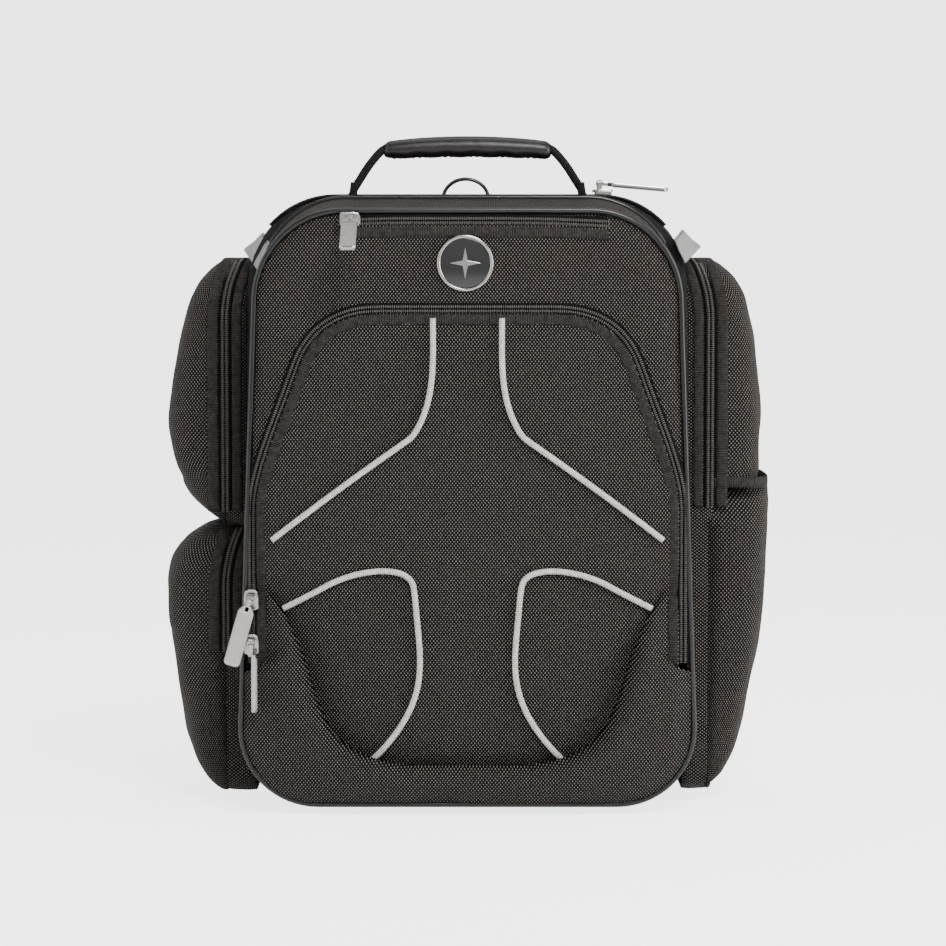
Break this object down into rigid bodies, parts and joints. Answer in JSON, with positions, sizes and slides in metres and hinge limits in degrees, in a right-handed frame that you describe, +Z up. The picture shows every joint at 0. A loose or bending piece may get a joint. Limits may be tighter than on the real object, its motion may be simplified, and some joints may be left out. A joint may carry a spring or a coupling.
{
  "type": "flight bag",
  "caption": "Upright soft flight bag with a zipped front pocket, zipped side pockets, an opening top, a carry handle, a padded back and shoulder straps.",
  "frame": {"origin": "centre of the bag's box on the floor", "axes": "+X to the right seen from the front, -Y towards the front, +Z up"},
  "size_m": [0.414, 0.245, 0.4555],
  "materials": {
    "ballistic_cloth": "woven, matt",
    "padded_back": "padded mesh, matt",
    "lining": "plain lining",
    "board": "stiffening board",
    "gloss_piping": "glossy coated cord",
    "ribbon": "ribbed ribbon",
    "zip_coil": "nylon coil on woven tape",
    "reflective_piping": "off-white ribbed cord",
    "nickel": "polished",
    "enamel": "gloss black",
    "silver_tab": "silver-grey coated cloth",
    "webbing": "ribbed webbing",
    "grip_leather": "smooth dark leather",
    "foot_rubber": "matt",
    "buckle": "moulded"
  },
  "bodies": {
    "bag": {"back_panel": "padded_back", "main_gusset": "ballistic_cloth", "bottom_board": "board", "divider": "lining", "front_gusset": "ballistic_cloth", "front_panel": "ballistic_cloth", "front_piping": "gloss_piping", "body_piping": "gloss_piping", "bumper": "ballistic_cloth", "pocket_zip_outer": "zip_coil", "pocket_binding_lower": "ribbon", "top_pocket_zip": "zip_coil", "top_pocket_welt": "ribbon", "top_pocket_pouch": "lining", "badge_disc": "nickel", "badge_enamel": "enamel", "arch_piping_lower": "reflective_piping", "main_zip_front": "zip_coil", "zip_tabs": "silver_tab", "handle_anchors": "webbing", "feet": "foot_rubber", "trolley_sleeve": "ballistic_cloth", "shoulder_straps": "padded_back", "strap_webbing": "webbing", "ladder_locks": "buckle", "left_upper_base": "ballistic_cloth", "left_lower_base": "ballistic_cloth", "right_base": "ballistic_cloth", "right_slip_pocket": "ballistic_cloth", "side_zips_fixed": "zip_coil"},
    "door": {"door_panel": "ballistic_cloth", "door_zip": "zip_coil", "door_binding": "ribbon", "door_piping": "reflective_piping"},
    "lid": {"lid_panel": "ballistic_cloth", "lid_zip": "zip_coil", "hang_loop": "gloss_piping"},
    "handle": {"handle_webbing": "webbing", "handle_grip": "grip_leather"},
    "left_upper_flap": {"left_upper_flap": "ballistic_cloth", "left_upper_flap_zip": "zip_coil"},
    "left_lower_flap": {"left_lower_flap": "ballistic_cloth", "left_lower_flap_zip": "zip_coil"},
    "right_flap": {"right_flap": "ballistic_cloth", "right_flap_zip": "zip_coil"},
    "pocket_slider_a": {"pocket_slider_a": "nickel"},
    "pocket_pull_a": {"pocket_pull_a": "nickel"},
    "pocket_slider_b": {"pocket_slider_b": "nickel"},
    "pocket_pull_b": {"pocket_pull_b": "nickel"},
    "top_slider": {"top_slider": "nickel"},
    "top_pull": {"top_pull": "nickel"},
    "main_slider": {"main_slider": "nickel"},
    "main_pull": {"main_pull": "nickel"},
    "left_upper_slider": {"left_upper_slider": "nickel"},
    "left_upper_pull": {"left_upper_pull": "nickel"},
    "left_lower_slider": {"left_lower_slider": "nickel"},
    "left_lower_pull": {"left_lower_pull": "nickel"},
    "right_slider": {"right_slider": "nickel"},
    "right_pull": {"right_pull": "nickel"}
  },
  "joints": [
    {"name": "handle_fold", "type": "hinge", "parent": "bag", "child": "handle", "pos_m": [0, -0.02797, 0.4235], "axis": [-1, 0, 0], "range_deg": [-70, 70]},
    {"name": "lid_open", "type": "hinge", "parent": "bag", "child": "lid", "pos_m": [0, 0.10023, 0.395], "axis": [-1, 0, 0], "range_deg": [0, 85]},
    {"name": "pocket_door", "type": "hinge", "parent": "bag", "child": "door", "pos_m": [0, -0.07367, 0.157], "axis": [1, 0, 0], "range_deg": [0, 110]},
    {"name": "left_upper_flap_open", "type": "hinge", "parent": "bag", "child": "left_upper_flap", "pos_m": [-0.1962, 0.03203, 0.223], "axis": [0, -1, 0], "range_deg": [0, 80]},
    {"name": "left_lower_flap_open", "type": "hinge", "parent": "bag", "child": "left_lower_flap", "pos_m": [-0.2072, 0.03203, 0.126], "axis": [0, -1, 0], "range_deg": [0, 80]},
    {"name": "right_flap_open", "type": "hinge", "parent": "bag", "child": "right_flap", "pos_m": [0.1972, 0.03203, 0.223], "axis": [0, 1, 0], "range_deg": [0, 80]},
    {"name": "pocket_slider_a_travel", "type": "slide", "parent": "bag", "child": "pocket_slider_a", "axis": [0, 0, -1], "range_m": [-0.045, 0]},
    {"name": "pocket_slider_b_travel", "type": "slide", "parent": "bag", "child": "pocket_slider_b", "axis": [0, 0, -1], "range_m": [-0.008, 0]},
    {"name": "top_slider_travel", "type": "slide", "parent": "bag", "child": "top_slider", "axis": [-1, 0, 0], "range_m": [-0.163, 0]},
    {"name": "main_slider_travel", "type": "slide", "parent": "lid", "child": "main_slider", "axis": [1, 0, 0], "range_m": [-0.184, 0]},
    {"name": "left_upper_slider_travel", "type": "slide", "parent": "bag", "child": "left_upper_slider", "axis": [0, 0, -1], "range_m": [-0.11, 0]},
    {"name": "left_lower_slider_travel", "type": "slide", "parent": "bag", "child": "left_lower_slider", "axis": [0, 0, -1], "range_m": [-0.032, 0]},
    {"name": "right_slider_travel", "type": "slide", "parent": "bag", "child": "right_slider", "axis": [0, 0, -1], "range_m": [-0.11, 0]},
    {"name": "pocket_pull_a_swing", "type": "hinge", "parent": "pocket_slider_a", "child": "pocket_pull_a", "pos_m": [-0.145, -0.07997, 0.149], "axis": [-1, 0, 0], "range_deg": [0, 45]},
    {"name": "pocket_pull_b_swing", "type": "hinge", "parent": "pocket_slider_b", "child": "pocket_pull_b", "pos_m": [-0.145, -0.07997, 0.119], "axis": [-1, 0, 0], "range_deg": [0, 60]},
    {"name": "top_pull_swing", "type": "hinge", "parent": "top_slider", "child": "top_pull", "pos_m": [-0.078, -0.07997, 0.403], "axis": [-1, 0, 0], "range_deg": [0, 90]},
    {"name": "main_pull_swing", "type": "hinge", "parent": "main_slider", "child": "main_pull", "pos_m": [0.09, -0.01542, 0.426], "axis": [0, -1, 0], "range_deg": [0, 150]},
    {"name": "left_upper_pull_swing", "type": "hinge", "parent": "left_upper_slider", "child": "left_upper_pull", "pos_m": [-0.166, 0.09403, 0.214], "axis": [1, 0, 0], "range_deg": [0, 140]},
    {"name": "left_lower_pull_swing", "type": "hinge", "parent": "left_lower_slider", "child": "left_lower_pull", "pos_m": [-0.166, 0.09403, 0.117], "axis": [1, 0, 0], "range_deg": [0, 140]},
    {"name": "right_pull_swing", "type": "hinge", "parent": "right_slider", "child": "right_pull", "pos_m": [0.166, 0.09403, 0.214], "axis": [1, 0, 0], "range_deg": [0, 140]}
  ]
}
